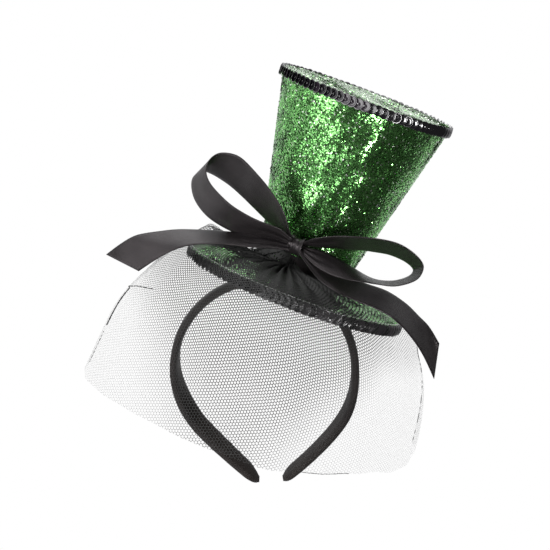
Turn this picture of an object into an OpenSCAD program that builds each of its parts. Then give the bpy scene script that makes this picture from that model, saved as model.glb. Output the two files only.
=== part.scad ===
// A mini top hat on a padded headband, with a ribbon bow and a net veil.
// The headband stands upright in the XZ plane, as it is worn, and its front faces -Y.
// The origin is on the inner surface of the headband, at the top of the arch.

/* [Headband] */
// Inner radius of the headband arch
head_r = 57.5; // [52:0.5:64]
// Width of the satin sleeve, front to back
band_w = 14; // [10:1:18]
// Thickness of the satin sleeve with its padding
band_t = 5.5; // [4:0.5:6]
// Angle from the top of the arch to the plane where an arm starts to flex
flex_angle = 45; // [42:1:50]
// Angle from the top of the arch to the tip of an arm
tip_angle = 174; // [160:1:175]
// Twist of the left arm towards the front
twist_left = 44; // [0:2:48]
// Twist of the right arm towards the front
twist_right = 20; // [0:2:40]
// How far the left tip runs out of the circle of the arch
flare_left = 18; // [0:1:18]
// How far the right tip runs out of the circle of the arch
flare_right = 13; // [0:1:18]
// How far the top of the arch is pressed flat under the hat
flat_depth = 5; // [0:0.5:5]

/* [Hat] */
// Tilt of the hat towards +X, round the headband
hat_tilt = 24; // [15:0.5:30]
// Distance of the hat's axis in front of the headband
hat_forward = 18; // [0:1:20]
// Distance of the hat's axis from the pad, along the tilt
hat_shift = -1.5; // [-3:0.5:3]
// Brim radius, without the trim
brim_r = 72.5; // [68:0.5:80]
// Thickness of the brim's card
board_t = 2; // [1.5:0.5:3]
// Outer radius of the crown at its foot
crown_foot_r = 26; // [24:1:28]
// Outer radius of the crown at its top
crown_top_r = 57.5; // [56:0.5:62]
// Height of the crown above the middle of the brim
crown_h = 133.5; // [125:0.5:140]
// Thickness of the glitter fabric
fabric_t = 0.6; // [0.5:0.1:0.8]
// Height of the sequin trim on the brim
brim_trim_h = 7.5; // [6:0.5:9]
// Height of the sequin trim on the crown
crown_trim_h = 6.2; // [5:0.2:8]

/* [Bow and veil] */
// Width of the satin ribbon
ribbon_w = 23; // [20:1:25]
// Thickness of the satin ribbon
ribbon_t = 0.5; // [0.4:0.1:0.8]
// Turn of the bow round the crown, towards -X
bow_turn = 17; // [10:1:20]
// Angle from the front to each side edge of the veil
veil_side = 97; // [80:1:100]
// Depth of the veil's hem below the brim
veil_drop = 98; // [60:2:110]

/* [Hidden] */
$fn = 96;

// Clearance between glued layers
glue = 0.05;
felt_t = 0.8;
card_t = 0.8;
pad_t = 0.8;
pad_l = 28;

// Brim: z = 0 of the hat is the middle of the brim's card
brim_top = board_t / 2;
cover_top = brim_top + fabric_t;
brim_floor = -board_t / 2 - felt_t;
band_outer_r = head_r + band_t;
hat_reach = band_outer_r - flat_depth + pad_t - brim_floor;

// Crown: a cone that widens upwards, and one that starts on the glitter cover of the brim
crown_slope = (crown_top_r - crown_foot_r) / (crown_h - cover_top);
function crown_r(z) = crown_foot_r + crown_slope * (z - cover_top);
top_board_t = 1.5;

// Sleeve, padding and core of the headband: width and thickness of each section
skin_t = 0.35;
core_size = [9, 1.6];
padding_in = core_size + [0.1, 0.1];
padding_out = [band_w - 2 * skin_t - 0.1, band_t - 2 * skin_t - 0.1];
sleeve_in = [band_w - 2 * skin_t, band_t - 2 * skin_t];
sleeve_out = [band_w, band_t];
band_mid_r = head_r + band_t / 2;
arm_gap = 0.3;

// --- Helpers ---

// A smooth step from 0 to 1
function smooth(x) = let (c = min(1, max(0, x))) c * c * (3 - 2 * c);
function cross_unit(a, b) = let (c = cross(a, b)) c / norm(c);

// A cubic curve through its first and last points, steered by the two between
function bezier(p, t) =
  pow(1 - t, 3) * p[0] + 3 * pow(1 - t, 2) * t * p[1]
  + 3 * (1 - t) * t * t * p[2] + pow(t, 3) * p[3];

// Six times the volume inside triangles, negative if they face inwards
function signed_volume(points, faces) =
  [for (f = faces) cross(points[f[0]], points[f[1]]) * points[f[2]]] * [for (f = faces) 1];

// Triangles across a ring that starts at point n0, as strips between its two halves
function cap_faces(sides, n0) = [for (j = [0:sides / 2 - 2]) each [
  [n0 + j, n0 + j + 1, n0 + sides - 2 - j],
  [n0 + j, n0 + sides - 2 - j, n0 + sides - 1 - j]
]];

// Side and end faces of a tube made of rings of points. The two halves of a ring are cut
// along matching diagonals, so that a thin twisted strip keeps its thickness.
function tube_faces(rings, sides) = concat(
  [for (i = [0:rings - 2], j = [0:sides - 1]) let (
    a = i * sides + j,
    b = i * sides + (j + 1) % sides
  ) each j < sides / 2
    ? [[a, b, b + sides], [a, b + sides, a + sides]]
    : [[a, b, a + sides], [b, b + sides, a + sides]]],
  [for (f = cap_faces(sides, 0)) [f[2], f[1], f[0]]],
  cap_faces(sides, (rings - 1) * sides)
);

function reversed(faces) = [for (f = faces) [for (i = [len(f) - 1:-1:0]) f[i]]];

// A solid through rings of points, with its faces turned outwards
module tube(rings) {
  points = [for (ring = rings, p = ring) p];
  faces = tube_faces(len(rings), len(rings[0]));
  polyhedron(points, signed_volume(points, faces) > 0 ? reversed(faces) : faces, convexity = 6);
}

// A strip of ribbon between two edges, each a list of points
module strip(edge_a, edge_b, thick = ribbon_t) {
  last = len(edge_a) - 1;
  function side(i) = let (
    along = edge_a[min(last, i + 1)] - edge_a[max(0, i - 1)]
      + edge_b[min(last, i + 1)] - edge_b[max(0, i - 1)]
  ) cross_unit(along, edge_b[i] - edge_a[i]) * thick / 2;
  tube([for (i = [0:last])
    [edge_a[i] - side(i), edge_b[i] - side(i), edge_b[i] + side(i), edge_a[i] + side(i)]]);
}

// Places the hat, with its own z axis through the crown, on the headband
module on_headband() {
  translate([0, 0, -head_r])
    rotate([0, hat_tilt, 0])
      translate([hat_shift, -hat_forward, hat_reach]) children();
}

module ring(outer_r, inner_r, h) {
  difference() {
    cylinder(r = outer_r, h = h);
    translate([0, 0, -1]) cylinder(r = inner_r, h = h + 2);
  }
}

// A layer of the crown: a cone shell whose outer surface lies inset from the cover's
module crown_layer(inset, thick, z0, z1) {
  rotate_extrude() polygon([
    [crown_r(z0) - inset - thick, z0], [crown_r(z0) - inset, z0],
    [crown_r(z1) - inset, z1], [crown_r(z1) - inset - thick, z1]
  ]);
}

// --- Brim ---

module brim_board() {
  color("saddlebrown") on_headband()
    translate([0, 0, -board_t / 2]) cylinder(r = brim_r - 0.3, h = board_t);
}

module brim_top_cover() {
  color("limegreen") on_headband()
    translate([0, 0, brim_top]) cylinder(r = brim_r, h = fabric_t);
}

module brim_under_felt() {
  color("dimgray") on_headband()
    translate([0, 0, brim_floor]) cylinder(r = brim_r - 0.3, h = felt_t);
}

trim_t = 1.5;
brim_trim_r = brim_r + 0.1;

module brim_sequin_trim() {
  color("black") on_headband()
    translate([0, 0, -brim_trim_h / 2 + 0.2]) ring(brim_trim_r + trim_t, brim_trim_r, brim_trim_h);
}

cord_r = 0.5;

module brim_edge_cord() {
  color("silver") on_headband()
    translate([0, 0, brim_trim_h / 2 + 0.2 + cord_r])
      rotate_extrude() translate([brim_trim_r + trim_t / 2, 0]) circle(r = cord_r, $fn = 16);
}

// --- Crown ---

module crown_wall() {
  color("saddlebrown") on_headband()
    crown_layer(fabric_t + glue, card_t, cover_top, crown_h - fabric_t - glue);
}

module crown_cover() {
  color("green") on_headband() crown_layer(0, fabric_t, cover_top, crown_h - fabric_t - glue);
}

base_ring_h = 8;

module crown_base_ring() {
  color("tan") on_headband()
    crown_layer(fabric_t + card_t + 2 * glue, 1, cover_top, cover_top + base_ring_h);
}

module crown_top_board() {
  top = crown_h - fabric_t - glue;
  inset = fabric_t + card_t + 2 * glue;
  color("tan") on_headband()
    translate([0, 0, top - top_board_t])
      cylinder(r1 = crown_r(top - top_board_t) - inset, r2 = crown_r(top) - inset, h = top_board_t);
}

module crown_top_cover() {
  color("palegreen") on_headband()
    translate([0, 0, crown_h - fabric_t]) cylinder(r = crown_top_r - 0.2, h = fabric_t);
}

module crown_sequin_trim() {
  color("black") on_headband()
    translate([0, 0, crown_h + 0.8 - crown_trim_h])
      ring(crown_top_r + 0.1 + trim_t, crown_top_r + 0.1, crown_trim_h);
}

hat_band_h = 22;

module hat_band() {
  color("black") on_headband()
    crown_layer(-ribbon_t - glue, ribbon_t, cover_top + 0.1, cover_top + hat_band_h);
}

// --- Bow: its own x runs along the loops and its own y points at the crown ---

bow_y = -42;
bow_z = 33;
knot_size = [10.4, 10, 14];
knot_round = 3;

module at_bow() {
  on_headband() rotate([0, 0, -bow_turn]) translate([0, bow_y, bow_z]) children();
}

module bow_knot() {
  color("black") at_bow()
    hull() for (x = [-1, 1], y = [-1, 1], z = [-1, 1])
      translate([
        x * (knot_size[0] / 2 - knot_round), y * (knot_size[1] / 2 - knot_round),
        z * (knot_size[2] / 2 - knot_round)
      ]) sphere(r = knot_round, $fn = 20);
}

loop_steps = 26;
loop_start = 0.026;
// Reach, height, rise and lean of each loop
left_loop = [80, 34, 14, 45];
right_loop = [82, 27, 9, 30];

// A point on a loop's middle line, from the knot out along the top and back along the bottom
function loop_mid(reach, high, rise, t) = let (
  x = reach * sin(180 * t),
  z = high / 2 * sin(360 * t)
) [x * cos(rise) - z * sin(rise), 0, x * sin(rise) + z * cos(rise)];

// An edge of a loop: near is 1 for the front edge and -1 for the back edge
function loop_edge(reach, high, rise, lean, near) =
  [for (i = [0:loop_steps]) let (
    t = loop_start + (1 - 2 * loop_start) * i / loop_steps,
    pinch = 0.4 + 0.6 * smooth(sin(180 * t) * 1.6)
  ) loop_mid(reach, high, rise, t)
    + near * pinch * ribbon_w / 2 * [0, -cos(lean), sin(lean)]];

module bow_loop(size) {
  strip(
    loop_edge(size[0], size[1], size[2], size[3], 1),
    loop_edge(size[0], size[1], size[2], size[3], -1)
  );
}

module bow_loop_left() {
  color("black") at_bow() mirror([1, 0, 0]) bow_loop(left_loop);
}

module bow_loop_right() {
  color("black") at_bow() bow_loop(right_loop);
}

tail_steps = 18;

// A tail between two edge curves, given in the hat's frame
module bow_tail(upper, lower) {
  strip(
    [for (i = [0:tail_steps]) bezier(upper, i / tail_steps)],
    [for (i = [0:tail_steps]) bezier(lower, i / tail_steps)]
  );
}

module bow_tail_left() {
  color("black") on_headband() bow_tail(
    [[-18, -38, 25], [-60, -35, 26], [-104, -32, 22], [-123, -32, -22]],
    [[-18, -44, 24], [-52, -54, 25], [-84, -52, 22], [-101, -44, -20]]
  );
}

module bow_tail_right() {
  color("black") on_headband() bow_tail(
    [[-7, -42, 23], [33, -47, 17], [80, -48, 31], [103, -48, 5]],
    [[-7, -48, 22], [31, -66, 15], [80, -70, 28], [107, -63, -16]]
  );
}

// --- Veil ---

veil_t = 1;
veil_root = [37, 12];
veil_rise = [54, 20];
veil_shoulder = [73, 18];
veil_hip = [90, -13];
veil_bell = [11, -21];
veil_hem_r = 111;
// How much shorter the net is at its right corner
corner_lift = 0.32;
veil_panels = 8;
panel_gap = 0.2;
// Shares of the length that each row of panels covers
veil_parts = [[0, 0.4], [0.401, 1]];
panel_cols = 4;
panel_rows = 5;

// Distance from the hat's axis and height, along the veil from the gather to the hem
function veil_profile(s) = let (
  over = bezier([veil_root, veil_rise, veil_shoulder, veil_hip], min(1, s * 2)),
  fall = bezier([
    veil_hip, veil_hip + veil_bell, [veil_hem_r - 3, -veil_drop * 0.6], [veil_hem_r, -veil_drop]
  ], max(0, s * 2 - 1))
) s < 0.5 ? over : fall;

// Height of a point of the net, with the hem raised in two steps towards the right corner
function hem_lift(z, side) = let (
  lift = corner_lift * (0.56 * smooth(side / 0.55) + 0.44 * smooth((side - 0.6) / 0.5))
) z < veil_hip[1] ? veil_hip[1] + (z - veil_hip[1]) * (1 - lift) : z;

// The net fans out from the gather at the front: its first rows are narrow
function veil_point(side, s, lift, nudge) = let (
  p = veil_profile(s),
  spread = smooth(s * 2.6),
  angle = -bow_turn * (1 - smooth(s)) + side * veil_side * (0.12 + 0.88 * spread)
    + nudge / p[0] * 180 / PI
) [(p[0] + lift) * sin(angle), -(p[0] + lift) * cos(angle),
    hem_lift(p[1], side) + lift * (1 - smooth(s * 1.4))];

// A panel of the net between two shares of its width and two of its length
module veil_panel(left, right, from, to) {
  tube([for (i = [0:panel_cols]) let (
    side = left + (right - left) * i / panel_cols,
    nudge = panel_gap * (0.5 - i / panel_cols)
  ) concat(
    [for (j = [0:panel_rows])
      veil_point(side, from + (to - from) * j / panel_rows, 0, nudge)],
    [for (j = [panel_rows:-1:0])
      veil_point(side, from + (to - from) * j / panel_rows, veil_t, nudge)]
  )]);
}

// The net is a fan of panels, split where it turns down over the brim's edge
module net_veil() {
  wide = 2 / veil_panels;
  color([0.2, 0.2, 0.2]) on_headband() for (i = [0:veil_panels - 1], part = veil_parts)
    veil_panel(i * wide - 1, (i + 1) * wide - 1, part[0], part[1]);
}

gather_r = 3.4;
gather_l = 24;

// The bundle of net at the gather, thick in the middle
module at_gather() {
  on_headband() rotate([0, 0, -bow_turn])
    translate([0, -(crown_r(veil_root[1]) + ribbon_t + gather_r + 0.6), veil_root[1]])
      rotate([0, 90, 0]) children();
}

module net_gather() {
  color([0.15, 0.15, 0.15]) at_gather() rotate_extrude($fn = 32) polygon([
    [0, -gather_l / 2], [gather_r * 0.6, -gather_l / 2], [gather_r * 0.75, -3],
    [gather_r * 0.75, 3], [gather_r * 0.6, gather_l / 2], [0, gather_l / 2]
  ]);
}

stitch_r = 0.35;

module gather_stitches() {
  color("black") at_gather() for (z = [-2, -0.7, 0.7, 2])
    translate([0, 0, z]) rotate_extrude($fn = 32)
      translate([gather_r * 0.75 + stitch_r, 0]) circle(r = stitch_r, $fn = 16);
}

// --- Headband ---

// Radius of the middle of the band: a circle, pressed flat where the hat is glued on. An arm drifts
// off the circle as it twists, and its end runs out towards the tip.
flat_spread = 22;
out_from = 125;
out_power = 2.6;
function band_r(a, drift, drift_from, drift_span, flare, side) =
  band_mid_r - flat_depth * exp(-pow((side * a - hat_tilt) / flat_spread, 2))
  + drift * smooth((a - drift_from) / drift_span)
  + flare * pow(max(0, (a - out_from) / (tip_angle - out_from)), out_power);

module headband_pad() {
  reach = hat_reach + brim_floor;
  half = asin(pad_l / 2 / reach);
  color("dimgray") translate([0, 0, -head_r]) rotate([0, hat_tilt, 0]) rotate([90, 0, 0])
    linear_extrude(band_w - 1, center = true) polygon(concat(
      [[-pad_l / 2, reach], [pad_l / 2, reach]],
      [for (i = [8:-1:-8]) let (
        a = half * i / 8,
        r = band_r(hat_tilt + a, 0, 0, 1, 0, 1) + band_t / 2 + glue
      ) [r * sin(a), r * cos(a)]]
    ));
}

// A flat oval section as points across the width (x) and through the thickness (y)
oval_points = 20;
function oval(size) = [for (i = [0:oval_points - 1]) let (
  a = 360 * i / oval_points,
  c = cos(a),
  s = sin(a)
) [size[0] / 2 * sign(c) * pow(abs(c), 0.55), size[1] / 2 * sign(s) * pow(abs(s), 0.8)]];

// One ring of the band at angle a from the top: side is 1 on the right and -1 on the left
function band_ring(size, arm, side, a, round_off) = let (
  turn = arm[0] * smooth((a - arm[1]) / arm[2]),
  r = band_r(a, arm[3], arm[1], arm[2], arm[4], side),
  radial = [side * sin(a), 0, cos(a)],
  across = [0, 1, 0] * cos(turn) - radial * sin(turn),
  through = radial * cos(turn) + [0, 1, 0] * sin(turn)
) [for (p = oval(size)) radial * r + across * p[0] * round_off
    + through * p[1] * (0.4 + 0.6 * round_off) - [0, 0, head_r]];

// Twist of each arm, where it starts and how long it takes, drift and flare
left_arm = [twist_left, 62, 58, -3.6, flare_left];
right_arm = [twist_right, 90, 40, 1.7, flare_right];
centre_steps = 24;

// The middle of the arch, between the two planes where the arms start
module centre_section(size, longer = 0) {
  reach = flex_angle + longer;
  tube([for (i = [0:centre_steps]) let (a = reach * (2 * i / centre_steps - 1))
    band_ring(size, right_arm, sign(a + 0.001), abs(a), 1)]);
}

module centre_layer(outer, inner) {
  difference() {
    centre_section(outer);
    centre_section(inner, 1);
  }
}

arm_steps = 20;
tip_steps = 4;
arm_start = flex_angle + arm_gap;
// Length of the rounded tip, as an angle of the arch
tip_round = 6.5;

// How much of each layer's end is left out at the tip, as an angle: core, padding, sleeve
core_short = 2.4;
padding_in_short = 2;
padding_out_short = 1;
sleeve_in_short = 0.6;

// Every layer has its rings at the same angles, up to its own rounded tip
module arm_section(size, arm, side, start, short = 0) {
  tip_foot = tip_angle - tip_round;
  tip_l = tip_round - short;
  tube(concat(
    start < arm_start ? [band_ring(size, arm, side, start, 1)] : [],
    [for (i = [0:arm_steps])
      band_ring(size, arm, side, arm_start + (tip_foot - arm_start) * i / arm_steps, 1)],
    [for (i = [1:tip_steps]) let (u = sin(90 * i / tip_steps))
      band_ring(size, arm, side, tip_foot + tip_l * u, max(0.3, sqrt(1 - u * u)))]
  ));
}

// A hollow layer of an arm, closed at its tip
module arm_layer(outer, inner, arm, side, short_out, short_in) {
  difference() {
    arm_section(outer, arm, side, arm_start, short_out);
    arm_section(inner, arm, side, arm_start - 1, short_in);
  }
}

module arm_core(arm, side) {
  arm_section(core_size, arm, side, arm_start, core_short);
}

module arm_padding(arm, side) {
  arm_layer(padding_out, padding_in, arm, side, padding_out_short, padding_in_short);
}

module arm_sleeve(arm, side) {
  arm_layer(sleeve_out, sleeve_in, arm, side, 0, sleeve_in_short);
}

module headband_core_centre() {
  color("gray") centre_section(core_size);
}

module headband_padding_centre() {
  color("beige") centre_layer(padding_out, padding_in);
}

module headband_sleeve_centre() {
  color("black") centre_layer(sleeve_out, sleeve_in);
}

module headband_core_left() {
  color("gray") arm_core(left_arm, -1);
}

module headband_padding_left() {
  color("beige") arm_padding(left_arm, -1);
}

module headband_sleeve_left() {
  color("black") arm_sleeve(left_arm, -1);
}

module headband_core_right() {
  color("gray") arm_core(right_arm, 1);
}

module headband_padding_right() {
  color("beige") arm_padding(right_arm, 1);
}

module headband_sleeve_right() {
  color("black") arm_sleeve(right_arm, 1);
}

brim_board();
brim_top_cover();
brim_under_felt();
brim_sequin_trim();
brim_edge_cord();
crown_wall();
crown_cover();
crown_base_ring();
crown_top_board();
crown_top_cover();
crown_sequin_trim();
hat_band();
bow_knot();
bow_loop_left();
bow_loop_right();
bow_tail_left();
bow_tail_right();
net_veil();
net_gather();
gather_stitches();
headband_pad();
headband_core_centre();
headband_padding_centre();
headband_sleeve_centre();
headband_core_left();
headband_padding_left();
headband_sleeve_left();
headband_core_right();
headband_padding_right();
headband_sleeve_right();
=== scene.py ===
"""A mini top hat on a padded headband: glitter crown and brim, sequin trims, satin bow and net veil.

Metres, in the CAD frame: the headband stands in the XZ plane with its front to -Y. Points of the
hat are given in the hat's own frame, in millimetres, with z up the crown's axis from the middle
of the brim card.
"""
import math
import random

import bpy
import numpy as np
from mathutils import Matrix, Vector, noise


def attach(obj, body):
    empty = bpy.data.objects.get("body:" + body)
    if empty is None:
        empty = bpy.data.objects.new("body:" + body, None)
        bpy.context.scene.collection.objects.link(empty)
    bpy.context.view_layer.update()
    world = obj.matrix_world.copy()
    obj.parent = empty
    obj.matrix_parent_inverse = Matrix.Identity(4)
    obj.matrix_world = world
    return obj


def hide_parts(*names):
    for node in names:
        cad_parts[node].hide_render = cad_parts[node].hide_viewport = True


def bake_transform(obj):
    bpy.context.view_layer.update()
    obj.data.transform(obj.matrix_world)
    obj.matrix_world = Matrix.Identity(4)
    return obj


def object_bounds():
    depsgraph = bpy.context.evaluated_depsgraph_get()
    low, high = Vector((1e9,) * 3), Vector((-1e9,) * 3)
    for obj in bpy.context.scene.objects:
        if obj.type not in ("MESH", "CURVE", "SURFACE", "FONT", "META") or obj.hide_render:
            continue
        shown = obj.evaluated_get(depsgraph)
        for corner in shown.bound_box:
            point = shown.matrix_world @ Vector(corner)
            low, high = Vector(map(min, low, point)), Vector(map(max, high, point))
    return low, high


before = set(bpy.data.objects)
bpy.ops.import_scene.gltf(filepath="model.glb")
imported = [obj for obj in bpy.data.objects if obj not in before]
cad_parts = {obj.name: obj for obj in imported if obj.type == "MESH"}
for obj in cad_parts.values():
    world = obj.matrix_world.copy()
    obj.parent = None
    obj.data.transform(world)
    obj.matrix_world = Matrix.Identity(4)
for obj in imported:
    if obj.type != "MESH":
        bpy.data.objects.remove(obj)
cad_lo, cad_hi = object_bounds()

# --- Driving sizes, in millimetres and degrees ---
MM = 0.001
HEAD_R, BAND_W, BAND_T = 57.5, 14.0, 5.5
SLEEVE_T, CORE_W, CORE_T = 0.4, 9.0, 1.6
HAT_TILT, HAT_FORWARD, HAT_SHIFT = math.radians(24), 18.0, -1.5
FLAT_DEPTH, FLAT_SPREAD = 5.0, 22.0
PAD_T, FELT_T, BOARD_T, FABRIC_T = 0.8, 0.8, 2.0, 0.6
BRIM_R = 72.5
CROWN_FOOT_R, CROWN_TOP_R, CROWN_H = 26.0, 57.5, 133.5
BRIM_TRIM_H, CROWN_TRIM_H = 7.5, 6.2
RIBBON_W, RIBBON_T = 23.0, 0.35
BOW_TURN, KNOT_AT = math.radians(17), (0.9, -42, 31.3)
VEIL_SIDE, VEIL_DROP = math.radians(97), 98.0
TIP_ANGLE = 174.0
COVER_TOP = BOARD_T / 2 + FABRIC_T
CROWN_SLOPE = (CROWN_TOP_R - CROWN_FOOT_R) / (CROWN_H - COVER_TOP)
SEED = 7

HEAD_CENTRE = Vector((0, 0, -HEAD_R))
HAT = (Matrix.Translation(HEAD_CENTRE) @ Matrix.Rotation(HAT_TILT, 4, "Y")
       @ Matrix.Translation((HAT_SHIFT, -HAT_FORWARD,
                             HEAD_R + BAND_T - FLAT_DEPTH + PAD_T + FELT_T + BOARD_T / 2)))
TO_METRES = Matrix.Scale(MM, 4)


def smooth(x):
    c = min(1.0, max(0.0, x))
    return c * c * (3 - 2 * c)


def crown_r(z):
    return CROWN_FOOT_R + CROWN_SLOPE * (z - COVER_TOP)


# --- Meshes ---

def add_mesh(name, verts, faces, materials, in_hat=True, uv=None):
    """A new object from points in millimetres, in the hat's frame or in the CAD frame."""
    mesh = bpy.data.meshes.new(name)
    mesh.from_pydata([tuple(v) for v in verts], [], faces)
    mesh.transform(TO_METRES @ HAT if in_hat else TO_METRES)
    if uv is not None:
        layer = mesh.uv_layers.new(name="cloth")
        for loop in mesh.loops:
            layer.data[loop.index].uv = uv[loop.vertex_index]
    for material in materials:
        mesh.materials.append(material)
    mesh.shade_smooth()
    obj = bpy.data.objects.new(name, mesh)
    bpy.context.scene.collection.objects.link(obj)
    return obj


def grid_faces(rows, cols, closed=False):
    """Quads of a grid of points stored row by row; closed joins the last column to the first."""
    return [
        (i * cols + j, i * cols + (j + 1) % cols, (i + 1) * cols + (j + 1) % cols, (i + 1) * cols + j)
        for i in range(rows - 1)
        for j in range(cols if closed else cols - 1)
    ]


def spline(points, count):
    """A smooth curve through a few points, sampled evenly by point number."""
    pts = [Vector(p) for p in points]
    ends = [2 * pts[0] - pts[1]] + pts + [2 * pts[-1] - pts[-2]]
    out = []
    for k in range(count):
        s = k / (count - 1) * (len(pts) - 1)
        i = min(int(s), len(pts) - 2)
        t = s - i
        a, b, c, d = ends[i:i + 4]
        out.append(0.5 * ((2 * b) + (c - a) * t + (2 * a - 5 * b + 4 * c - d) * t * t
                          + (3 * b - a - 3 * c + d) * t * t * t))
    return out


def paint(obj, name, values):
    """Stores one number per vertex, for a material to read."""
    obj.data.attributes.new(name, "FLOAT", "POINT").data.foreach_set("value", values)


def solidify(obj, thick):
    mod = obj.modifiers.new("thickness", "SOLIDIFY")
    mod.thickness = thick * MM
    mod.offset = 0.0
    mod.use_even_offset = False


# --- Materials ---

class Nodes:
    """Short calls for building one material's node tree."""

    def __init__(self, name):
        self.mat = bpy.data.materials.new(name)
        self.mat.use_nodes = True
        self.tree = self.mat.node_tree
        self.shader = self.tree.nodes["Principled BSDF"]

    def set(self, **values):
        for key, value in values.items():
            self.shader.inputs[key.replace("_", " ")].default_value = value

    def add(self, kind, **settings):
        node = self.tree.nodes.new(kind)
        for key, value in settings.items():
            setattr(node, key, value)
        return node

    def link(self, out, into):
        self.tree.links.new(out, into)

    def math(self, operation, a, b=None):
        node = self.add("ShaderNodeMath", operation=operation)
        for socket, value in zip(node.inputs, (a, b)):
            if value is None:
                continue
            if isinstance(value, (int, float)):
                socket.default_value = value
            else:
                self.link(value, socket)
        return node.outputs[0]

    def vector(self, operation, a, b=None, scale=None):
        node = self.add("ShaderNodeVectorMath", operation=operation)
        for socket, value in zip(node.inputs, (a, b)):
            if value is None:
                continue
            if isinstance(value, tuple):
                socket.default_value = value
            else:
                self.link(value, socket)
        if scale is not None:
            node.inputs["Scale"].default_value = scale
        return node.outputs["Value" if operation in ("DOT_PRODUCT", "LENGTH") else "Vector"]

    def place(self, kind="Object"):
        return self.add("ShaderNodeTexCoord").outputs[kind]

    def noise(self, vector, scale, detail=2.0, roughness=0.5):
        node = self.add("ShaderNodeTexNoise")
        node.inputs["Scale"].default_value = scale
        node.inputs["Detail"].default_value = detail
        node.inputs["Roughness"].default_value = roughness
        self.link(vector, node.inputs["Vector"])
        return node.outputs["Fac"]

    def ramp(self, value, *stops):
        node = self.add("ShaderNodeValToRGB")
        ramp = node.color_ramp
        while len(ramp.elements) < len(stops):
            ramp.elements.new(0.5)
        for element, (at, colour) in zip(ramp.elements, stops):
            element.position = at
            element.color = (*colour, 1.0)
        self.link(value, node.inputs["Fac"])
        return node.outputs["Color"]

    def bump(self, height, distance, strength):
        node = self.add("ShaderNodeBump")
        node.inputs["Strength"].default_value = strength
        node.inputs["Distance"].default_value = distance
        self.link(height, node.inputs["Height"])
        self.link(node.outputs["Normal"], self.shader.inputs["Normal"])


def flake_material(name, colour, rough):
    """One shade of metallic glitter flake."""
    n = Nodes(name)
    n.set(Base_Color=(*colour, 1), Metallic=1.0, Roughness=rough)
    return n.mat


def glitter_ground(name, low, high):
    """The printed glitter under the loose flakes: a cell pattern with its own tilt in each cell."""
    n = Nodes(name)
    cells = n.add("ShaderNodeTexVoronoi")
    cells.inputs["Scale"].default_value = 1400.0
    n.link(n.place(), cells.inputs["Vector"])
    tone = n.add("ShaderNodeSeparateColor")
    n.link(cells.outputs["Color"], tone.inputs["Color"])
    n.link(n.ramp(tone.outputs["Red"], (0.1, low), (0.9, high)), n.shader.inputs["Base Color"])
    n.set(Metallic=0.75, Roughness=0.38)
    n.bump(tone.outputs["Green"], 0.0004, 0.9)
    return n.mat


def satin_material(name, colour, rough, shine):
    """Black satin: a close warp along the cloth, and a soft sheen."""
    n = Nodes(name)
    uv = n.place("UV")
    warp = n.add("ShaderNodeTexWave", wave_type="BANDS", bands_direction="Y")
    warp.inputs["Scale"].default_value = 900.0
    warp.inputs["Distortion"].default_value = 1.2
    warp.inputs["Detail"].default_value = 2.0
    n.link(uv, warp.inputs["Vector"])
    soft = n.noise(uv, 60.0, 3.0)
    tint = n.ramp(soft, (0.35, colour), (0.7, tuple(c * 2.4 for c in colour)))
    n.link(tint, n.shader.inputs["Base Color"])
    n.set(Roughness=rough, Specular_IOR_Level=shine, Specular_Tint=(1, 0.91, 0.94, 1),
          Anisotropic=0.35)
    height = n.math("ADD", n.math("MULTIPLY", warp.outputs["Fac"], 0.25), soft)
    n.bump(height, 0.0002, 0.7)
    return n.mat


def sequin_material(name, colour, rough):
    n = Nodes(name)
    n.set(Base_Color=(*colour, 1), Metallic=0.0, Roughness=rough, Specular_IOR_Level=0.8,
          Coat_Weight=0.6, Coat_Roughness=0.08)
    return n.mat


def felt_material(name, colour):
    n = Nodes(name)
    at = n.place()
    fibres = n.noise(at, 1800.0, 4.0, 0.7)
    darker, lighter = tuple(c * 0.6 for c in colour), tuple(c * 1.9 for c in colour)
    n.link(n.ramp(fibres, (0.3, darker), (0.75, lighter)), n.shader.inputs["Base Color"])
    n.set(Roughness=0.95, Sheen_Weight=0.4, Sheen_Roughness=0.6)
    n.bump(fibres, 0.0005, 0.8)
    return n.mat


def card_material(name):
    n = Nodes(name)
    at = n.place()
    fibres = n.noise(at, 700.0, 5.0, 0.65)
    n.link(n.ramp(fibres, (0.3, (0.25, 0.18, 0.11)), (0.7, (0.42, 0.32, 0.21))),
           n.shader.inputs["Base Color"])
    n.set(Roughness=0.85)
    n.bump(fibres, 0.0002, 0.5)
    return n.mat


def foam_material(name):
    n = Nodes(name)
    at = n.place()
    pores = n.add("ShaderNodeTexVoronoi")
    pores.inputs["Scale"].default_value = 2500.0
    n.link(at, pores.inputs["Vector"])
    n.link(n.ramp(pores.outputs["Distance"], (0.0, (0.35, 0.33, 0.27)), (0.5, (0.62, 0.59, 0.5))),
           n.shader.inputs["Base Color"])
    n.set(Roughness=0.9)
    n.bump(pores.outputs["Distance"], 0.0003, 0.6)
    return n.mat


def plain_material(name, colour, rough, metallic=0.0):
    n = Nodes(name)
    grain = n.noise(n.place(), 900.0, 3.0)
    darker, lighter = tuple(c * 0.85 for c in colour), tuple(c * 1.15 for c in colour)
    n.link(n.ramp(grain, (0.3, darker), (0.7, lighter)), n.shader.inputs["Base Color"])
    n.set(Roughness=rough, Metallic=metallic)
    n.bump(grain, 0.00008, 0.4)
    return n.mat


NET_PITCH = 2.02
# Turn of the net's rows against the brim, in degrees
NET_GRAIN = 23


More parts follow.
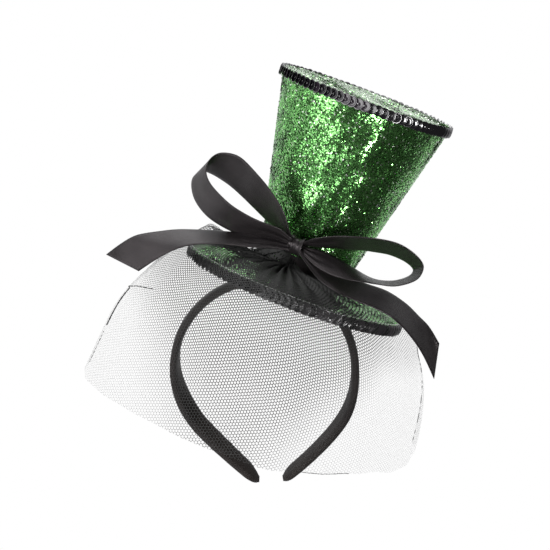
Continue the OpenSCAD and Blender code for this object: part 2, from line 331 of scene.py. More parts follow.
def net_material(name):
    """Hexagonal net: the cells are open and the threads are black. The width of the threads, as a
    share of a cell, is painted on the mesh: more where the net is gathered into layers."""
    n = Nodes(name)
    root3 = math.sqrt(3)
    cell, half = (1.0, root3, 1.0), (0.5, root3 / 2, 0.0)
    at = n.vector("SCALE", n.place("UV"), scale=1 / (NET_PITCH * MM))
    one = n.vector("SUBTRACT", n.vector("MODULO", at, cell), half)
    two = n.vector("SUBTRACT", n.vector("MODULO", n.vector("ADD", at, half), cell), half)
    nearer = n.math("LESS_THAN", n.vector("DOT_PRODUCT", one, one), n.vector("DOT_PRODUCT", two, two))
    # This node's vector sockets share their names with others: inputs 4 and 5, and output 1
    pick = n.add("ShaderNodeMix", data_type="VECTOR")
    n.link(nearer, pick.inputs["Factor"])
    n.link(two, pick.inputs[4])
    n.link(one, pick.inputs[5])
    inside = n.vector("ABSOLUTE", pick.outputs[1])
    flat = n.add("ShaderNodeSeparateXYZ")
    n.link(inside, flat.inputs[0])
    reach = n.math("MAXIMUM", flat.outputs["X"], n.vector("DOT_PRODUCT", inside, (0.5, root3 / 2, 0.0)))
    edge = n.math("SUBTRACT", 0.5, reach)
    width = n.add("ShaderNodeAttribute", attribute_name="thread")
    thread = n.math("LESS_THAN", edge, width.outputs["Fac"])
    n.link(thread, n.shader.inputs["Alpha"])
    n.set(Base_Color=(0.02, 0.02, 0.0195, 1), Roughness=0.6, Specular_IOR_Level=0.3)
    return n.mat


GREENS = [
    flake_material("flake_green", (0.2, 0.53, 0.155), 0.26),
    flake_material("flake_bright", (0.27, 0.62, 0.21), 0.2),
    flake_material("flake_pale", (0.52, 0.78, 0.44), 0.2),
    flake_material("flake_deep", (0.05, 0.15, 0.035), 0.3),
    flake_material("flake_silver", (0.8, 0.86, 0.77), 0.34),
]
GREEN_GROUND = glitter_ground("glitter_ground", (0.006, 0.022, 0.004), (0.05, 0.16, 0.035))
SATIN = satin_material("black_satin", (0.0085, 0.0074, 0.0077), 0.3, 0.36)
SLEEVE_SATIN = satin_material("sleeve_satin", (0.008, 0.0068, 0.006), 0.5, 0.22)
SEQUINS = [
    sequin_material("sequin_black", (0.006, 0.005, 0.007), 0.18),
    sequin_material("sequin_plum", (0.02, 0.013, 0.021), 0.3),
]
NET = net_material("black_net")
FELT = felt_material("black_felt", (0.02, 0.02, 0.021))
CARD = card_material("card")
FOAM = foam_material("foam")
CORE = plain_material("core_plastic", (0.03, 0.03, 0.033), 0.4)
THREAD = plain_material("black_thread", (0.012, 0.012, 0.012), 0.7)
SILVER = plain_material("silver_thread", (0.75, 0.77, 0.74), 0.35, 0.6)


# --- Camera, lights and floor ---

def make_camera():
    """Straight at the front, a little above, and rolled so that the headband leans to the left."""
    distance, lift, roll, view_width = 1.8, math.radians(8.5), math.radians(3.5), 0.363
    target = Vector((0.0109, 0, 0.0052))
    ahead = Vector((0, math.cos(lift), -math.sin(lift)))
    above = Vector((0, math.sin(lift), math.cos(lift)))
    across = Vector((1, 0, 0))
    right = across * math.cos(roll) - above * math.sin(roll)
    up = across * math.sin(roll) + above * math.cos(roll)
    data = bpy.data.cameras.new("camera")
    data.sensor_width = 36
    data.lens = data.sensor_width * distance / view_width
    data.clip_end = 20
    cam = bpy.data.objects.new("camera", data)
    turn = Matrix((right, up, -ahead)).transposed()
    cam.matrix_world = Matrix.Translation(target - ahead * distance) @ turn.to_4x4()
    bpy.context.scene.collection.objects.link(cam)
    bpy.context.scene.camera = cam


def add_light(name, at, aim, size, power):
    data = bpy.data.lights.new(name, "AREA")
    data.shape = "RECTANGLE"
    data.size, data.size_y = size
    data.energy = power
    obj = bpy.data.objects.new(name, data)
    at, aim = Vector(at), Vector(aim)
    obj.matrix_world = Matrix.Translation(at) @ (aim - at).to_track_quat("-Z", "Y").to_matrix().to_4x4()
    obj.visible_camera = False
    bpy.context.scene.collection.objects.link(obj)


# The dark side of the studio, measured from straight ahead of the object towards the right
DARK_SIDE = math.radians(38)


def studio_light(tree, coordinates, lift, target):
    """White where the camera sees it. For everything else the studio is open and dark at the front
    right, so that the glitter has contrast."""
    coords = tree.nodes.new("ShaderNodeTexCoord")
    flat = tree.nodes.new("ShaderNodeVectorMath")
    flat.operation = "NORMALIZE"
    dot = tree.nodes.new("ShaderNodeVectorMath")
    dot.operation = "DOT_PRODUCT"
    dot.inputs[1].default_value = (math.sin(DARK_SIDE), -math.cos(DARK_SIDE), lift)
    ramp = tree.nodes.new("ShaderNodeValToRGB")
    ramp.color_ramp.elements[0].position = 0.18
    ramp.color_ramp.elements[0].color = (0.95, 0.96, 0.97, 1)
    ramp.color_ramp.elements[1].position = 0.4
    ramp.color_ramp.elements[1].color = (0.06, 0.06, 0.06, 1)
    path = tree.nodes.new("ShaderNodeLightPath")
    # This node's colour sockets share their names with others: inputs 6 and 7, and output 2
    mix = tree.nodes.new("ShaderNodeMix")
    mix.data_type = "RGBA"
    mix.inputs[7].default_value = (1, 1, 1, 1)
    tree.links.new(coords.outputs[coordinates], flat.inputs[0])
    tree.links.new(flat.outputs[0], dot.inputs[0])
    tree.links.new(dot.outputs["Value"], ramp.inputs["Fac"])
    tree.links.new(path.outputs["Is Camera Ray"], mix.inputs[0])
    tree.links.new(ramp.outputs["Color"], mix.inputs[6])
    tree.links.new(mix.outputs[2], target)


def make_world():
    world = bpy.data.worlds.new("studio")
    bpy.context.scene.world = world
    world.use_nodes = True
    studio_light(world.node_tree, "Generated", -0.12, world.node_tree.nodes["Background"].inputs["Color"])


def make_stage():
    below, half = 0.16, 6.0
    floor_z = cad_lo.z - below
    mesh = bpy.data.meshes.new("floor")
    mesh.from_pydata([(-half, -half, floor_z), (half, -half, floor_z), (half, half, floor_z),
                      (-half, half, floor_z)], [], [(0, 1, 2, 3)])
    n = Nodes("pale_floor")
    n.set(Base_Color=(0, 0, 0, 1), Roughness=1.0, Specular_IOR_Level=0.0, Emission_Strength=1.0)
    studio_light(n.mat.node_tree, "Object", 0.0, n.shader.inputs["Emission Color"])
    mesh.materials.append(n.mat)
    floor = bpy.data.objects.new("floor", mesh)
    bpy.context.scene.collection.objects.link(floor)
    add_light("key_left", (-0.95, -1.0, 0.25), (0.03, 0, 0.05), (0.9, 1.4), 13)
    add_light("spark", (0.3, -1.1, -0.1), (0.05, 0, 0.06), (0.22, 0.3), 8)
    add_light("top", (0.1, 0.25, 1.3), (0, 0, 0), (1.2, 1.0), 12)


make_camera()
make_world()
make_stage()
bpy.context.scene.view_settings.view_transform = "Standard"


# --- Glitter ---

# The cover is a little uneven: waves of 4 to 45 mm, each leaning the flakes by about this much
RUMPLE, WAVES = 0.027, 24
# Most flakes lie nearly flat and some stand askew
FLAKE_LEAN, ASKEW_LEAN, ASKEW_SHARE = 0.07, 0.36, 0.16
FLAKE_R = (0.38, 0.62)


def hex_flakes(name, centres, normals, materials, shares, seed):
    """Loose hexagonal flakes, each tilted a little from the surface it lies on."""
    rng = np.random.default_rng(seed)
    count = len(centres)
    tilt = np.where(rng.random(count) < ASKEW_SHARE, ASKEW_LEAN, FLAKE_LEAN)[:, None]
    waves = rng.normal(size=(WAVES, 3)) * (1, 1, 0.35)
    waves *= (2 * math.pi / rng.uniform(4, 45, WAVES) / np.linalg.norm(waves, axis=1))[:, None]
    phases = centres @ waves.T + rng.uniform(0, 2 * math.pi, WAVES)
    rumple = np.sin(phases) @ rng.normal(size=(WAVES, 3)) * RUMPLE
    up = normals + rng.normal(size=(count, 3)) * tilt + rumple
    up /= np.linalg.norm(up, axis=1)[:, None]
    side = np.cross(up, rng.normal(size=(count, 3)))
    side /= np.linalg.norm(side, axis=1)[:, None]
    ahead = np.cross(up, side)
    radius = rng.uniform(*FLAKE_R, count)
    angle = np.arange(6) * math.pi / 3
    points = (centres[:, None, :]
              + radius[:, None, None] * (np.cos(angle)[None, :, None] * side[:, None, :]
                                         + np.sin(angle)[None, :, None] * ahead[:, None, :]))
    mesh = bpy.data.meshes.new(name)
    mesh.vertices.add(count * 6)
    mesh.vertices.foreach_set("co", points.reshape(-1).astype(np.float32))
    mesh.loops.add(count * 6)
    mesh.loops.foreach_set("vertex_index", np.arange(count * 6, dtype=np.int32))
    mesh.polygons.add(count)
    mesh.polygons.foreach_set("loop_start", np.arange(count, dtype=np.int32) * 6)
    mesh.update(calc_edges=True)
    mesh.transform(TO_METRES @ HAT)
    for material in materials:
        mesh.materials.append(material)
    kinds = rng.choice(len(materials), count, p=shares).astype(np.int32)
    mesh.polygons.foreach_set("material_index", kinds)
    obj = bpy.data.objects.new(name, mesh)
    bpy.context.scene.collection.objects.link(obj)
    return obj


def cone_spots(count, z0, z1, seed):
    """Random points on the crown's cover, and the outward normals there."""
    rng = np.random.default_rng(seed)
    r0, r1 = crown_r(z0), crown_r(z1)
    r = np.sqrt(rng.uniform(r0 * r0, r1 * r1, count))
    z = COVER_TOP + (r - CROWN_FOOT_R) / CROWN_SLOPE
    a = rng.uniform(0, 2 * math.pi, count)
    lift = rng.uniform(0.1, 0.5, count)
    lean = math.atan(CROWN_SLOPE)
    normals = np.stack([np.cos(a) * math.cos(lean), np.sin(a) * math.cos(lean),
                        np.full(count, -math.sin(lean))], 1)
    points = np.stack([r * np.cos(a), r * np.sin(a), z], 1) + normals * lift[:, None]
    return points, normals


def disc_spots(count, r0, r1, z, seed):
    rng = np.random.default_rng(seed)
    r = np.sqrt(rng.uniform(r0 * r0, r1 * r1, count))
    a = rng.uniform(0, 2 * math.pi, count)
    lift = rng.uniform(0.1, 0.5, count)
    points = np.stack([r * np.cos(a), r * np.sin(a), z + lift], 1)
    return points, np.tile([0.0, 0.0, 1.0], (count, 1))


def dress_node(node, material):
    """Gives a CAD node its material."""
    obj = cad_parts[node]
    obj.data.materials.clear()
    obj.data.materials.append(material)


def make_glitter():
    # How common each of the five shades is
    shares = (0.57, 0.22, 0.06, 0.12, 0.03)
    # On the top disc the pale and silver flakes are far more common: a painted highlight that makes the
    # top, which faces the light, read lighter
    top_highlight_shares = (0.1, 0.12, 0.26, 0.02, 0.5)
    fields = {
        "crown_flakes": cone_spots(49000, COVER_TOP + 1, CROWN_H - 1.5, 1),
        "brim_flakes": disc_spots(21000, CROWN_FOOT_R + 1, BRIM_R - 0.6, COVER_TOP, 2),
        "top_flakes": disc_spots(15500, 0.5, CROWN_TOP_R - 0.8, CROWN_H, 3),
    }
    for number, (name, (points, normals)) in enumerate(fields.items()):
        mix = top_highlight_shares if name == "top_flakes" else shares
        piece = hex_flakes(name, points, normals, GREENS, mix, SEED + number)
        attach(piece, "hat")
    for node in ("crown_cover", "brim_top_cover", "crown_top_cover"):
        dress_node(node, GREEN_GROUND)


# --- Sequins ---

# Rings of a sequin from its hole to its cupped rim: how wide and how deep, as shares of its radius
SEQUIN_RINGS = ((0.02, 0.0), (0.5, 0.015), (0.78, 0.06), (1.0, 0.17))
SEQUIN_SIDES = 20
SEQUIN_T, PLUM_SHARE = 0.12, 0.3


def sequin_points(radius):
    """A cupped sequin with a hole, facing +x."""
    return [
        (radius * deep, radius * wide * math.cos(2 * math.pi * k / SEQUIN_SIDES),
         radius * wide * math.sin(2 * math.pi * k / SEQUIN_SIDES))
        for wide, deep in SEQUIN_RINGS
        for k in range(SEQUIN_SIDES)
    ]


def sequin_band(name, node, ring_r, mid_z, height, step, turn):
    """Overlapping sequins round a rim, each turned so that it covers half of the next."""
    rng = random.Random(SEED)
    points = sequin_points(height / 2)
    count = round(2 * math.pi * ring_r / step)
    verts, faces, kinds = [], [], []
    one = grid_faces(len(SEQUIN_RINGS), SEQUIN_SIDES, closed=True)
    for k in range(count):
        at = (Matrix.Rotation(2 * math.pi * k / count + rng.uniform(-0.004, 0.004), 4, "Z")
              @ Matrix.Translation((ring_r, 0, mid_z + rng.uniform(-0.2, 0.2)))
              @ Matrix.Rotation(math.radians(turn + rng.uniform(-4, 4)), 4, "Z")
              @ Matrix.Rotation(math.radians(rng.uniform(-5, 5)), 4, "Y")
              @ Matrix.Rotation(rng.uniform(0, math.pi), 4, "X"))
        base = len(verts)
        verts += [at @ Vector(p) for p in points]
        faces += [tuple(base + v for v in f) for f in one]
        kinds += [1 if rng.random() < PLUM_SHARE else 0] * len(one)
    band = add_mesh(name, verts, faces, SEQUINS)
    band.data.polygons.foreach_set("material_index", kinds)
    solidify(band, SEQUIN_T)
    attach(band, "hat")
    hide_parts(node)


def make_cord():
    """Two metallic strands twisted round each other along the brim's edge."""
    ring_r, z, strand_r, twist = BRIM_R + 1.1, BRIM_TRIM_H / 2 + 0.75, 0.17, 2.2
    apart, steps, sides = 0.15, 900, 6
    turns = round(2 * math.pi * ring_r / twist)
    verts, faces = [], []
    for strand in range(2):
        base = len(verts)
        for i in range(steps):
            a = 2 * math.pi * i / steps
            b = turns * a + strand * math.pi
            r, h = ring_r + apart * math.cos(b), z + apart * math.sin(b)
            for j in range(sides):
                c = 2 * math.pi * j / sides
                rr = r + strand_r * math.cos(c)
                verts.append((rr * math.cos(a), rr * math.sin(a), h + strand_r * math.sin(c)))
        faces += [
            (base + i * sides + j, base + i * sides + (j + 1) % sides,
             base + (i + 1) % steps * sides + (j + 1) % sides, base + (i + 1) % steps * sides + j)
            for i in range(steps) for j in range(sides)
        ]
    cord = add_mesh("edge_cord", verts, faces, [SILVER])
    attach(cord, "hat")
    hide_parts("brim_edge_cord")


# --- Ribbon ---

def ribbon(name, node, rails, flat, along, pleat, pleat_at, both_ends=False):
    """A strip of satin lofted over rails: curves along it, from its front edge to its back edge.
    Pleats run along it and fade away from each end that is drawn into the knot."""
    across = 12
    curves = [spline(r, along) for r in rails]
    verts, uv = [], []
    for i in range(along):
        row = spline([c[i] for c in curves], across)
        s = i / (along - 1)
        ends = max(0.0, 1 - s / pleat_at)
        if both_ends:
            ends = max(ends, 1 - (1 - s) / pleat_at)
        before, after = curves[0][max(0, i - 1)], curves[0][min(along - 1, i + 1)]
        out = (after - before).cross(row[-1] - row[0]).normalized()
        for j, p in enumerate(row):
            v = j / (across - 1)
            fold = pleat * ends * math.sin(v * math.pi * 5 + 0.7)
            ripple = 0.24 * noise.noise(p * 0.09 + Vector((0, 0, 5)))
            verts.append(p + out * (fold + ripple))
            uv.append((s * flat[1], v * flat[0]))
    obj = add_mesh(name, verts, grid_faces(along, across), [SATIN], uv=uv)
    solidify(obj, RIBBON_T)
    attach(obj, "hat")
    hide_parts(node)
    return obj


LEFT_LOOP = [
    # front edge
    [
        (-15, -46, 35.5), (-21, -48, 42.5), (-29, -49, 52), (-41.5, -47, 61), (-55.5, -44, 68.5),
        (-66.5, -41, 72.5), (-76.5, -38, 70.5), (-81.5, -36, 65.5), (-82.5, -35, 59.5), (-80.5, -36, 53.5),
        (-75, -39, 48.5), (-64, -42, 43.5), (-53, -45, 40.5), (-39, -47, 39), (-26, -48, 39),
        (-15, -46, 34.5),
    ],
    # back edge
    [
        (-15, -39, 33.5), (-23, -38, 35.5), (-31, -36, 38), (-41, -33, 42), (-54, -28, 47.5),
        (-65.5, -25, 51.5), (-77.5, -21, 53.5), (-84.5, -19, 52.5), (-88, -18, 46.5), (-86, -19, 39.5),
        (-81, -22, 33.5), (-73, -26, 28.5), (-62, -30, 25.5), (-47, -35, 25), (-29.5, -38, 28),
        (-15, -39, 30.5),
    ],
]

RIGHT_LOOP = [
    # front edge
    [
        (-8.5, -46, 35), (-2, -51, 41.5), (8, -56, 47.5), (21.5, -61, 53), (35, -61, 56.5),
        (47, -61, 58), (57, -61, 56), (64.5, -61, 52.5), (67.5, -61, 48.5), (67, -61, 42),
        (62.5, -61, 36.5), (54.5, -61, 31.5), (43, -61, 28.5), (35, -61, 27), (24.5, -61, 25),
        (15, -58, 24), (5, -53, 25), (-6, -47, 29),
    ],
    # back edge
    [
        (-8.5, -40, 33.5), (2.5, -41.5, 36), (12.5, -42.5, 39), (21.5, -44, 41.5), (31.5, -44, 44.5),
        (44.5, -44, 47), (54, -44, 47), (60, -44, 45.5), (63.5, -44, 43), (62, -44, 38.5),
        (55, -44, 33), (46.5, -44, 30), (37.5, -44, 29.5), (27.5, -44, 31.5), (16.5, -44, 33.5),
        (6.5, -42.5, 34), (-1, -41.5, 33.5), (-7.5, -40, 32.5),
    ],
]

LEFT_TAIL = [
    # upper edge
    [
        (-16, -40, 32), (-30.5, -38.5, 31.5), (-42, -36.5, 28.5), (-55.5, -34, 24), (-71.5, -32, 19),
        (-87, -31, 13), (-98, -31, 7.5), (-109, -31, 1), (-116.5, -31, -7.5), (-123, -32, -17.5),
    ],
    # lower edge
    [
        (-15, -47, 28), (-28, -49, 25), (-39.5, -51, 21.5), (-51, -52, 19), (-62.5, -52, 15.5),
        (-71, -52, 12), (-79, -51, 7), (-86.5, -49, 0), (-93.5, -46, -9), (-100, -44, -18.5),
    ],
]

RIGHT_TAIL = [
    # upper edge
    [
        (-9, -44, 31), (1, -44.5, 28.5), (12, -45.5, 26), (25, -46, 24.5), (37.5, -46, 25),
        (53, -46, 25), (66.5, -46, 22), (77.5, -45.5, 17), (86, -45.5, 13), (96, -45, 5),
    ],
    # lower edge
    [
        (-8.5, -48, 28.5), (1, -52.5, 22), (10, -57.5, 17.5), (20.5, -62, 15.5), (33.5, -63, 14.5),
        (48.5, -63, 14), (62, -62, 11.5), (75, -58.5, 5), (88, -54.5, -4.5), (100.5, -50, -17),
    ],
]


def make_bow():
    width = RIBBON_W * MM
    ribbon("loop_left", "bow_loop_left", LEFT_LOOP, (width, 0.169), 130, 0.7, 0.16, both_ends=True)
    ribbon("loop_right", "bow_loop_right", RIGHT_LOOP, (width, 0.164), 130, 0.7, 0.16, both_ends=True)
    ribbon("tail_left", "bow_tail_left", LEFT_TAIL, (width, 0.112), 90, 0.6, 0.3)
    ribbon("tail_right", "bow_tail_right", RIGHT_TAIL, (width, 0.119), 90, 0.6, 0.3)


def make_knot():
    """The ribbon wrapped round the middle of the bow, drawn into lengthwise pleats."""
    rows, cols = 40, 64
    half_width, depth, height = 4.6, 4.6, 6.6
    verts, uv = [], []
    bow = Matrix.Rotation(-BOW_TURN, 4, "Z") @ Matrix.Translation(KNOT_AT)
    for i in range(rows):
        v = i / (rows - 1) * 2 - 1
        waist = 1 - 0.22 * (1 - v * v)
        for j in range(cols):
            a = 2 * math.pi * j / cols
            pleats = 1 + 0.05 * math.sin(v * 9 + 0.8 * math.sin(a)) + 0.03 * math.sin(a * 3 + v * 4)
            y = -depth * waist * pleats * math.cos(a)
            z = height * waist * pleats * math.sin(a)
            verts.append(bow @ Vector((v * half_width, y, z)))
            uv.append((a * 0.006, v * 0.005))
    obj = add_mesh("bow_knot_wrap", verts, grid_faces(rows, cols, closed=True), [SATIN], uv=uv)
    solidify(obj, RIBBON_T)
    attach(obj, "hat")
    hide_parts("bow_knot")


# --- Veil ---

def bezier(a, b, c, d, t):
    return a * (1 - t) ** 3 + 3 * b * (1 - t) ** 2 * t + 3 * c * (1 - t) * t * t + d * t ** 3


# Where the net turns down past the brim, and how much shorter it hangs at the right corner
VEIL_HIP_R, VEIL_HIP_Z = 90, -13
CORNER_LIFT = 0.32
# Radius at which a cell of the net has its own width, in metres
VEIL_FLAT_R, RUFFLE_FLAT_R = 0.108, 0.075


def veil_profile(s):
    """Distance from the hat's axis and height of the net, from the gather to the hem."""
    if s < 0.5:
        t = s * 2
        return bezier(37, 54, 73, VEIL_HIP_R, t), bezier(15, 21, 19, VEIL_HIP_Z, t)
    t = s * 2 - 1
    return bezier(VEIL_HIP_R, 101, 108, 111, t), bezier(VEIL_HIP_Z, -34, -60, -VEIL_DROP, t)


def bump(x, centre, width):
    return math.exp(-((x - centre) / width) ** 2)


def veil_point(side, s):
    """A point of the net: side runs from -1 to 1 round the front, and s from the gather to the hem."""
    r, z = veil_profile(s)
    if z < VEIL_HIP_Z:
        lift = CORNER_LIFT * (0.56 * smooth(side / 0.55) + 0.44 * smooth((side - 0.6) / 0.5))
        z = VEIL_HIP_Z + (z - VEIL_HIP_Z) * (1 - lift)
    spread = smooth(s * 2.6)
    angle = -BOW_TURN * (1 - smooth(s)) + side * VEIL_SIDE * (0.12 + 0.88 * spread)
    crowd = 1 - smooth(s * 2.3)
    pleats = -3.2 * crowd * (1 - math.cos(side * 62 + 1.5 * math.sin(side * 9)))
    folds = math.sin(side * 17 + 2 * math.sin(side * 5)) + 0.5 * math.sin(side * 37 + 1.3 + 3 * s)
    hang = smooth((s - 0.2) * 3)
    depth = pleats + folds * (0.45 + 0.75 * hang)
    r += depth * hang + 3 * bump(side, -1, 0.3) * bump(s, 0.74, 0.14)
    z += depth * (1 - hang)
    # The net stands up a little behind each tail of the bow
    z += 7 * bump(side, -0.95, 0.16) * bump(s, 0.27, 0.1)
    z += 6 * bump(side, 0.95, 0.15) * bump(s, 0.33, 0.09)
    return Vector((r * math.sin(angle), -r * math.cos(angle), max(z, 3.2) if r < BRIM_R + 4 else z))


def thread_width(side, s):
    """Half of the threads' width as a share of a cell: crowded at the gather, fine at the corners."""
    crowd = 1 - smooth((s - 0.16) * 2.6)
    low = smooth((s - 0.58) * 2.8)
    left = smooth((-side + (s - 0.6) * 0.9 - 0.32) / 0.5) * smooth((s - 0.36) * 2.6)
    right = smooth((side + (s - 0.5) * 0.9 - 0.33) / 0.34) * smooth((s - 0.32) * 3)
    gathered = 0.122 + (0.2 - 0.13 * smooth(abs(side) * 1.3)) * crowd
    open_end = 0.17 * crowd * smooth((side - 0.45) * 3)
    return gathered - open_end - 0.096 * max(left, right) - 0.03 * low * (1 - max(left, right))


def net_uv(across, down, turn):
    """A place on the flat net, in metres, turned by the angle of the net's rows."""
    return (0.5 + across * math.cos(turn) - down * math.sin(turn),
            0.5 + across * math.sin(turn) + down * math.cos(turn))


# Threads along the net's edges: name, start and stop as (side, s), radius, and how much it thins
SEAMS = (
    ("veil_edge_left", (-1, 0.7), (-1, 0.86), 0.5, 0.3),
    ("veil_edge_left_low", (-1, 0.88), (-1, 0.99), 0.24, 0.9),
    ("veil_crease_left", (-1, 0.7), (-0.6, 0.6), 0.38, 0.5),
    ("veil_edge_right", (1, 0.3), (1, 1), 0.24, 0.9),
    ("veil_hem_front", (0.19, 0.998), (0.38, 0.998), 0.22, 0.3),
)


def seam_path(start, stop, steps=90):
    return [
        veil_point(start[0] + (stop[0] - start[0]) * i / steps, start[1] + (stop[1] - start[1]) * i / steps)
        for i in range(steps + 1)
    ]


def make_veil():
    rows, cols = 120, 420
    turn = math.radians(NET_GRAIN)
    verts, uv, width = [], [], []
    length = 0.0
    for i in range(rows):
        s = i / (rows - 1)
        if i:
            a, b = veil_profile(s), veil_profile((i - 1) / (rows - 1))
            length += math.hypot(a[0] - b[0], a[1] - b[1])
        for j in range(cols):
            side = j / (cols - 1) * 2 - 1
            verts.append(veil_point(side, s))
            uv.append(net_uv(side * VEIL_SIDE * VEIL_FLAT_R, length * MM, turn))
            width.append(thread_width(side, s))
    veil = add_mesh("veil", verts, grid_faces(rows, cols), [NET], uv=uv)
    paint(veil, "thread", width)
    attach(veil, "hat")
    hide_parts("net_veil")
    edges = [edge_thread(name, seam_path(start, stop), radius, speck)
             for name, start, stop, radius, speck in SEAMS]


def make_ruffle():
    """The second layer of the gathered net, which stands in close folds round the crown's foot."""
    rows, cols, spread = 50, 300, math.radians(52)
    turn = math.radians(NET_GRAIN + 31)
    verts, uv, width = [], [], []
    for i in range(rows):
        s = i / (rows - 1)
        for j in range(cols):
            side = j / (cols - 1) * 2 - 1
            angle = (-BOW_TURN * (1 - smooth(s * 1.3))
                     + side * spread * (0.2 + 0.8 * smooth(s * 1.7)))
            fold = math.sin(side * 41 + 2.2 * math.sin(side * 7)) + 0.6 * math.sin(side * 73 + 4 * s)
            reach = 1 - 0.14 * (1 + math.sin(side * 9 + 1)) * s - 0.3 * smooth((side - 0.3) * 2)
            r = 33.5 + 33 * s * reach
            shelter = 11 * smooth((-side - 0.25) * 2) * (1 - s) - 7 * smooth((side - 0.4) * 2)
            z = 5.2 + shelter + 15 * (1 - s) ** 1.6 + (1.1 + 1.6 * smooth(s * 2) * (1 - 0.5 * s)) * fold
            verts.append((r * math.sin(angle), -r * math.cos(angle), max(z, 3.4)))
            uv.append(net_uv(side * spread * RUFFLE_FLAT_R, s * 0.034, turn))
            width.append(0.34 - 0.14 * smooth(s * 1.2) - 0.14 * smooth((side - 0.3) * 2))
    ruffle = add_mesh("net_ruffle", verts, grid_faces(rows, cols), [NET], uv=uv)
    paint(ruffle, "thread", width)
    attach(ruffle, "hat")


def edge_thread(name, path, radius, speck):
    """A thread along a path of points in the hat's frame. A selvedge with specks thins in between."""
    sides = 6
    verts = []
    for i, p in enumerate(path):
        along = (path[min(len(path) - 1, i + 1)] - path[max(0, i - 1)]).normalized()
        one = along.orthogonal().normalized()
        two = along.cross(one)
        here = radius * (1 - speck * smooth(0.5 + 1.4 * math.sin(i * 0.9 + 2 * math.sin(i * 0.37))))
        for j in range(sides):
            a = 2 * math.pi * j / sides
            verts.append(p + here * (one * math.cos(a) + two * math.sin(a)))
    obj = add_mesh(name, verts, grid_faces(len(path), sides, closed=True), [THREAD])
    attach(obj, "hat")
    return obj


# --- Headband ---

# Of each arm, left -1 and right 1: twist, where it starts and over how long, in degrees from the top
# of the arch; then drift and flare in mm
ARMS = {-1: (44, 62, 58, -3.6, 18), 1: (20, 90, 40, 1.7, 13)}
RING_SIDES = 36
# The cloth in metres: along the band for each degree, and once round its section
CLOTH_ALONG, CLOTH_ROUND = 0.00105, 0.036


def oval(size, count):
    """A flat oval section: points across the width and through the thickness."""
    out = []
    for i in range(count):
        a = 2 * math.pi * i / count
        c, s = math.cos(a), math.sin(a)
        out.append((size[0] / 2 * math.copysign(abs(c) ** 0.55, c),
                    size[1] / 2 * math.copysign(abs(s) ** 0.8, s)))
    return out


def band_r(a, drift, start, span, flare, side):
    """Radius of the band's middle: a circle, flat under the hat, that drifts and then flares."""
    pressed = FLAT_DEPTH * math.exp(-((side * a - math.degrees(HAT_TILT)) / FLAT_SPREAD) ** 2)
    past = max(0.0, (a - 125) / (TIP_ANGLE - 125))
    return HEAD_R + BAND_T / 2 - pressed + drift * smooth((a - start) / span) + flare * past ** 2.6


def arm_ring(size, side, a, round_off, wrinkle):
    """One section of the band, at an angle from the top of the arch."""
    twist, start, span, drift, flare = ARMS[side]
    turn = math.radians(twist) * smooth((a - start) / span)
    angle = math.radians(a)
    radial = Vector((side * math.sin(angle), 0, math.cos(angle)))
    back = Vector((0, 1, 0))
    across = back * math.cos(turn) - radial * math.sin(turn)
    through = radial * math.cos(turn) + back * math.sin(turn)
    mid = HEAD_CENTRE + radial * band_r(a, drift, start, span, flare, side)
    ring = []
    for w, t in oval(size, RING_SIDES):
        p = mid + across * w * round_off + through * t * (0.4 + 0.6 * round_off)
        rumple = wrinkle * noise.noise(Vector((w * 0.12, t * 0.3, a * side * 0.35)))
        ring.append(p + (p - mid).normalized() * rumple)
    return ring


def band_faces(rings):
    """The sides and both end caps of a run of rings."""
    faces = grid_faces(rings, RING_SIDES, closed=True)
    faces.append(tuple(range(RING_SIDES)))
    faces.append(tuple(range(rings * RING_SIDES - 1, (rings - 1) * RING_SIDES - 1, -1)))
    return faces


def band_uv(a):
    """Places on the cloth, in metres, round the ring at an angle."""
    return [(a * CLOTH_ALONG, k / RING_SIDES * CLOTH_ROUND) for k in range(RING_SIDES)]


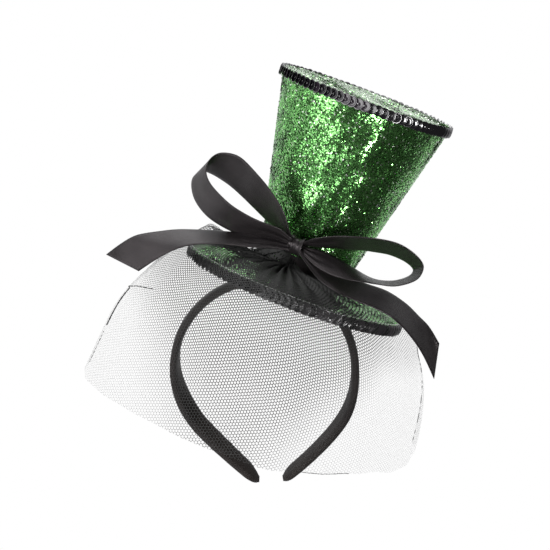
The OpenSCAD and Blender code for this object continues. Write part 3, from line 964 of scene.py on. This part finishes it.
def arm_piece(name, node, size, side, start, stop, material, wrinkle):
    """A sleeve, pad or core of one arm between two angles from the top of the arch, with a round tip."""
    steps, tip_steps, tip_share = 110, 8, 0.05
    shares = [i / steps * (1 - tip_share) for i in range(steps)]
    shares += [1 - tip_share * (1 - math.sin(math.pi / 2 * i / tip_steps)) for i in range(tip_steps + 1)]
    verts, uv = [], []
    for s in shares:
        past = (s - 1 + tip_share) / tip_share
        round_off = math.sqrt(max(0.09, 1 - past * past)) if past > 0 else 1.0
        a = start + (stop - start) * s
        verts += arm_ring(size, side, a, round_off, wrinkle)
        uv += band_uv(a)
    faces = band_faces(len(shares))
    if side > 0:
        faces = [tuple(reversed(f)) for f in faces]
    obj = add_mesh(name, verts, faces, [material], in_hat=False, uv=uv)
    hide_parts(node)
    return obj


def make_headband():
    layers = (
        ("sleeve", (BAND_W, BAND_T), SLEEVE_SATIN, "black_satin", 0.12),
        ("padding", (BAND_W - 2 * SLEEVE_T, BAND_T - 2 * SLEEVE_T), FOAM, "band_foam", 0.0),
        ("core", (CORE_W, CORE_T), CORE, "band_core", 0.0),
    )
    arms = (("left", -1), ("right", 1))
    # In degrees from the top of the arch: where each arm's pieces begin and the centre piece ends
    meet = {"left": 10.0, "right": 42.0}
    for layer, size, material, finish, wrinkle in layers:
        stop = TIP_ANGLE if layer == "sleeve" else TIP_ANGLE - 3
        for word, side in arms:
            piece = arm_piece(f"{layer}_{word}", f"headband_{layer}_{word}", size, side,
                              meet[word], stop, material, wrinkle)
            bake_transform(piece)
    steps = 60
    for layer, size, material, finish, wrinkle in layers:
        verts, uv = [], []
        for i in range(steps + 1):
            a = -meet["left"] + (meet["left"] + meet["right"]) * i / steps
            side = 1 if a >= 0 else -1
            verts += arm_ring(size, side, abs(a), 1.0, wrinkle)
            uv += band_uv(a)
        faces = [tuple(reversed(f)) for f in band_faces(steps + 1)]
        piece = add_mesh(f"{layer}_centre", verts, faces, [material], in_hat=False, uv=uv)
        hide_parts(f"headband_{layer}_centre")
        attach(piece, "hat")


def dress_hidden_parts():
    for node in ("brim_board", "crown_wall", "crown_base_ring", "crown_top_board"):
        dress_node(node, CARD)
    dress_node("brim_under_felt", FELT)
    dress_node("headband_pad", FELT)
    dress_node("hat_band", SATIN)
    dress_node("net_gather", THREAD)
    dress_node("gather_stitches", THREAD)


make_glitter()
sequin_band("crown_sequins", "crown_sequin_trim", CROWN_TOP_R + 0.6, CROWN_H + 0.8 - CROWN_TRIM_H / 2,
            CROWN_TRIM_H + 1.1, 4.3, -13)
sequin_band("brim_sequins", "brim_sequin_trim", BRIM_R + 0.7, 0.2, BRIM_TRIM_H + 0.3, 4.4, -12)
make_cord()
make_bow()
make_knot()
make_veil()
make_ruffle()
make_headband()
dress_hidden_parts()
